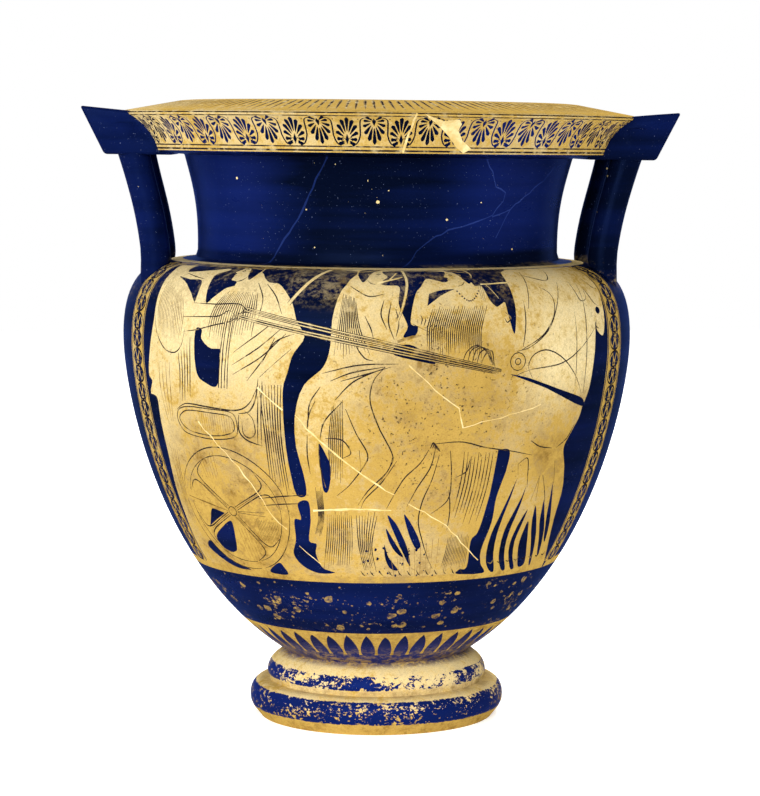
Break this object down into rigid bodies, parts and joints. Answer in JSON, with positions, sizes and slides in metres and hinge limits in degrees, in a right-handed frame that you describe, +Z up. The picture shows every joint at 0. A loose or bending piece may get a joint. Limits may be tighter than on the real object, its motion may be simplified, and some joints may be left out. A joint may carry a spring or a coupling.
{
  "type": "greek column krater",
  "caption": "Fired clay mixing bowl with wide neck, flaring rim, two plate handles on paired columns and a moulded ring foot.",
  "frame": {"origin": "centre of the bounding box on the plane that the ring foot stands on", "axes": "+Z up along the pot's axis, +X towards the right-hand handle, -Y towards the side with the chariot picture"},
  "size_m": [0.4248, 0.377, 0.4517],
  "materials": {
    "painted_clay": "satin deep blue gloss over gold-coloured clay, worn on the foot"
  },
  "bodies": {
    "root": {"krater": "painted_clay"}
  },
  "joints": []
}
